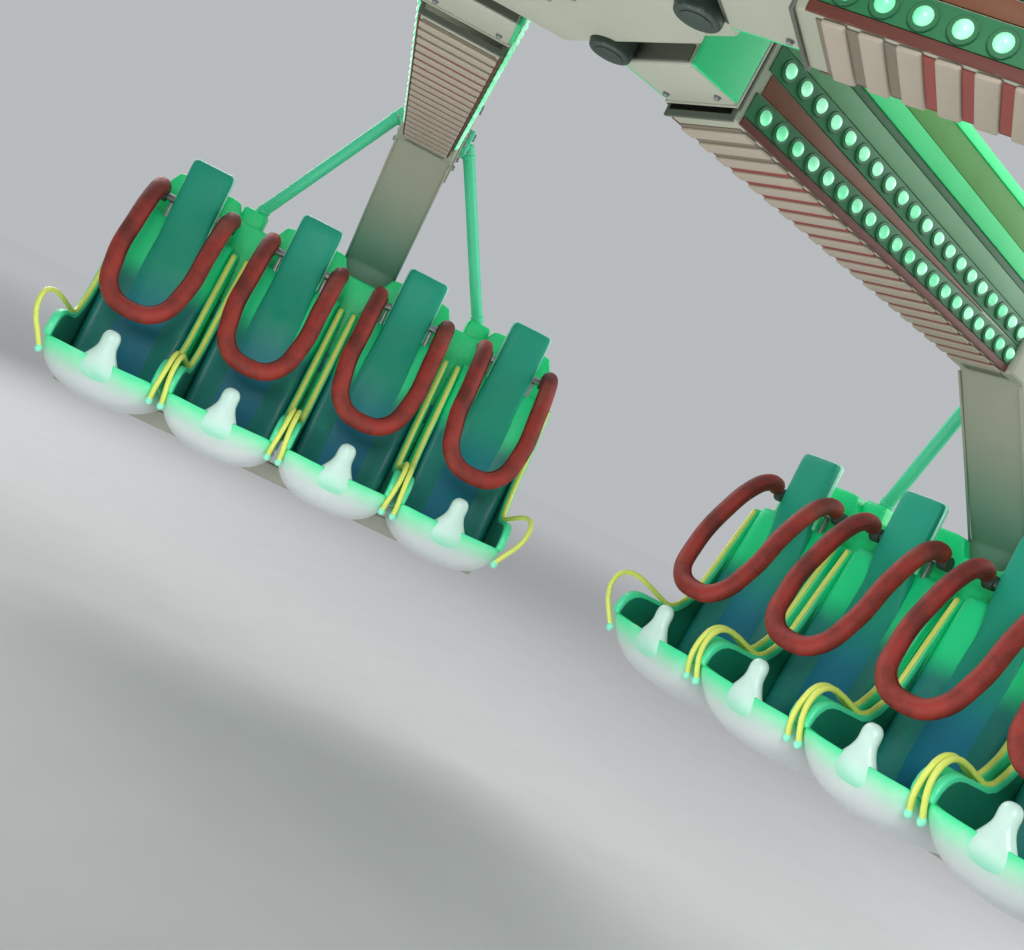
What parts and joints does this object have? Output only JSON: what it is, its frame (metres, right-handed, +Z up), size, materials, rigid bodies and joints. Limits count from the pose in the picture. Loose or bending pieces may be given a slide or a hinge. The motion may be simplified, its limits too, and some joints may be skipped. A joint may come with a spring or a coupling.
{
  "type": "pendulum ride gondola",
  "caption": "Gondola of a fairground pendulum ride: slewing hub, box beams like spokes, and rows of inward-facing floorless seats with shoulder restraints.",
  "frame": {"origin": "centre of the upper face of the top flange that bolts to the swing arm", "axes": "+Z up along the spin axis, out of the flange; +X along the first beam"},
  "size_m": [7.18, 7.0784, 3.0753],
  "materials": {
    "flange_steel": "painted grey",
    "ring_steel": "machined",
    "motor_housing": "satin black",
    "hub_paint": "gloss white",
    "dark_cover": "satin black",
    "beam_paint": "gloss white",
    "panel_green": "gloss green",
    "seat_base": "moulded fibreglass, gloss white",
    "seat_shell": "moulded fibreglass",
    "restraint_pad": "moulded foam skin"
  },
  "bodies": {
    "root": {"arm_flange": "flange_steel", "bearing_ring": "ring_steel", "spin_motor_1": "motor_housing", "spin_motor_2": "motor_housing"},
    "gondola": {"slewing_ring": "ring_steel", "hub_top_plate": "hub_paint", "hub_drum": "hub_paint", "hub_underplate": "hub_paint", "hub_centre_cover": "dark_cover", "arm_1": "beam_paint", "row_frame_1": "panel_green", "seat_base_1": "seat_base", "seat_back_1": "seat_shell", "arm_2": "beam_paint", "row_frame_2": "panel_green", "seat_base_2": "seat_base", "seat_back_2": "seat_shell", "arm_3": "beam_paint", "row_frame_3": "panel_green", "seat_base_3": "seat_base", "seat_back_3": "seat_shell", "arm_4": "beam_paint", "row_frame_4": "panel_green", "seat_base_4": "seat_base", "seat_back_4": "seat_shell", "arm_5": "beam_paint", "row_frame_5": "panel_green", "seat_base_5": "seat_base", "seat_back_5": "seat_shell", "arm_6": "beam_paint", "row_frame_6": "panel_green", "seat_base_6": "seat_base", "seat_back_6": "seat_shell"},
    "restraint_1_1": {"restraint_1_1": "restraint_pad"},
    "restraint_1_2": {"restraint_1_2": "restraint_pad"},
    "restraint_1_3": {"restraint_1_3": "restraint_pad"},
    "restraint_1_4": {"restraint_1_4": "restraint_pad"},
    "restraint_2_1": {"restraint_2_1": "restraint_pad"},
    "restraint_2_2": {"restraint_2_2": "restraint_pad"},
    "restraint_2_3": {"restraint_2_3": "restraint_pad"},
    "restraint_2_4": {"restraint_2_4": "restraint_pad"},
    "restraint_3_1": {"restraint_3_1": "restraint_pad"},
    "restraint_3_2": {"restraint_3_2": "restraint_pad"},
    "restraint_3_3": {"restraint_3_3": "restraint_pad"},
    "restraint_3_4": {"restraint_3_4": "restraint_pad"},
    "restraint_4_1": {"restraint_4_1": "restraint_pad"},
    "restraint_4_2": {"restraint_4_2": "restraint_pad"},
    "restraint_4_3": {"restraint_4_3": "restraint_pad"},
    "restraint_4_4": {"restraint_4_4": "restraint_pad"},
    "restraint_5_1": {"restraint_5_1": "restraint_pad"},
    "restraint_5_2": {"restraint_5_2": "restraint_pad"},
    "restraint_5_3": {"restraint_5_3": "restraint_pad"},
    "restraint_5_4": {"restraint_5_4": "restraint_pad"},
    "restraint_6_1": {"restraint_6_1": "restraint_pad"},
    "restraint_6_2": {"restraint_6_2": "restraint_pad"},
    "restraint_6_3": {"restraint_6_3": "restraint_pad"},
    "restraint_6_4": {"restraint_6_4": "restraint_pad"}
  },
  "joints": [
    {"name": "spin", "type": "hinge", "parent": "root", "child": "gondola", "pos_m": [0, 0, -0.145], "axis": [0, 0, 1], "continuous": true},
    {"name": "restraint_1_1_pivot", "type": "hinge", "parent": "gondola", "child": "restraint_1_1", "pos_m": [3.265, -0.9, -1.66], "axis": [0, 1, 0], "range_deg": [0, 70]},
    {"name": "restraint_1_2_pivot", "type": "hinge", "parent": "gondola", "child": "restraint_1_2", "pos_m": [3.265, -0.3, -1.66], "axis": [0, 1, 0], "range_deg": [0, 70]},
    {"name": "restraint_1_3_pivot", "type": "hinge", "parent": "gondola", "child": "restraint_1_3", "pos_m": [3.265, 0.3, -1.66], "axis": [0, 1, 0], "range_deg": [0, 70]},
    {"name": "restraint_1_4_pivot", "type": "hinge", "parent": "gondola", "child": "restraint_1_4", "pos_m": [3.265, 0.9, -1.66], "axis": [0, 1, 0], "range_deg": [0, 70]},
    {"name": "restraint_2_1_pivot", "type": "hinge", "parent": "gondola", "child": "restraint_2_1", "pos_m": [2.41192, 2.37757, -1.66], "axis": [-0.866, 0.5, 0], "range_deg": [0, 70]},
    {"name": "restraint_2_2_pivot", "type": "hinge", "parent": "gondola", "child": "restraint_2_2", "pos_m": [1.89231, 2.67757, -1.66], "axis": [-0.866, 0.5, 0], "range_deg": [0, 70]},
    {"name": "restraint_2_3_pivot", "type": "hinge", "parent": "gondola", "child": "restraint_2_3", "pos_m": [1.37269, 2.97757, -1.66], "axis": [-0.866, 0.5, 0], "range_deg": [0, 70]},
    {"name": "restraint_2_4_pivot", "type": "hinge", "parent": "gondola", "child": "restraint_2_4", "pos_m": [0.85308, 3.27757, -1.66], "axis": [-0.866, 0.5, 0], "range_deg": [0, 70]},
    {"name": "restraint_3_1_pivot", "type": "hinge", "parent": "gondola", "child": "restraint_3_1", "pos_m": [-0.85308, 3.27757, -1.66], "axis": [-0.866, -0.5, 0], "range_deg": [0, 70]},
    {"name": "restraint_3_2_pivot", "type": "hinge", "parent": "gondola", "child": "restraint_3_2", "pos_m": [-1.37269, 2.97757, -1.66], "axis": [-0.866, -0.5, 0], "range_deg": [0, 70]},
    {"name": "restraint_3_3_pivot", "type": "hinge", "parent": "gondola", "child": "restraint_3_3", "pos_m": [-1.89231, 2.67757, -1.66], "axis": [-0.866, -0.5, 0], "range_deg": [0, 70]},
    {"name": "restraint_3_4_pivot", "type": "hinge", "parent": "gondola", "child": "restraint_3_4", "pos_m": [-2.41192, 2.37757, -1.66], "axis": [-0.866, -0.5, 0], "range_deg": [0, 70]},
    {"name": "restraint_4_1_pivot", "type": "hinge", "parent": "gondola", "child": "restraint_4_1", "pos_m": [-3.265, 0.9, -1.66], "axis": [0, -1, 0], "range_deg": [0, 70]},
    {"name": "restraint_4_2_pivot", "type": "hinge", "parent": "gondola", "child": "restraint_4_2", "pos_m": [-3.265, 0.3, -1.66], "axis": [0, -1, 0], "range_deg": [0, 70]},
    {"name": "restraint_4_3_pivot", "type": "hinge", "parent": "gondola", "child": "restraint_4_3", "pos_m": [-3.265, -0.3, -1.66], "axis": [0, -1, 0], "range_deg": [0, 70]},
    {"name": "restraint_4_4_pivot", "type": "hinge", "parent": "gondola", "child": "restraint_4_4", "pos_m": [-3.265, -0.9, -1.66], "axis": [0, -1, 0], "range_deg": [0, 70]},
    {"name": "restraint_5_1_pivot", "type": "hinge", "parent": "gondola", "child": "restraint_5_1", "pos_m": [-2.41192, -2.37757, -1.66], "axis": [0.866, -0.5, 0], "range_deg": [0, 70]},
    {"name": "restraint_5_2_pivot", "type": "hinge", "parent": "gondola", "child": "restraint_5_2", "pos_m": [-1.89231, -2.67757, -1.66], "axis": [0.866, -0.5, 0], "range_deg": [0, 70]},
    {"name": "restraint_5_3_pivot", "type": "hinge", "parent": "gondola", "child": "restraint_5_3", "pos_m": [-1.37269, -2.97757, -1.66], "axis": [0.866, -0.5, 0], "range_deg": [0, 70]},
    {"name": "restraint_5_4_pivot", "type": "hinge", "parent": "gondola", "child": "restraint_5_4", "pos_m": [-0.85308, -3.27757, -1.66], "axis": [0.866, -0.5, 0], "range_deg": [0, 70]},
    {"name": "restraint_6_1_pivot", "type": "hinge", "parent": "gondola", "child": "restraint_6_1", "pos_m": [0.85308, -3.27757, -1.66], "axis": [0.866, 0.5, 0], "range_deg": [0, 70]},
    {"name": "restraint_6_2_pivot", "type": "hinge", "parent": "gondola", "child": "restraint_6_2", "pos_m": [1.37269, -2.97757, -1.66], "axis": [0.866, 0.5, 0], "range_deg": [0, 70]},
    {"name": "restraint_6_3_pivot", "type": "hinge", "parent": "gondola", "child": "restraint_6_3", "pos_m": [1.89231, -2.67757, -1.66], "axis": [0.866, 0.5, 0], "range_deg": [0, 70]},
    {"name": "restraint_6_4_pivot", "type": "hinge", "parent": "gondola", "child": "restraint_6_4", "pos_m": [2.41192, -2.37757, -1.66], "axis": [0.866, 0.5, 0], "range_deg": [0, 70]}
  ]
}
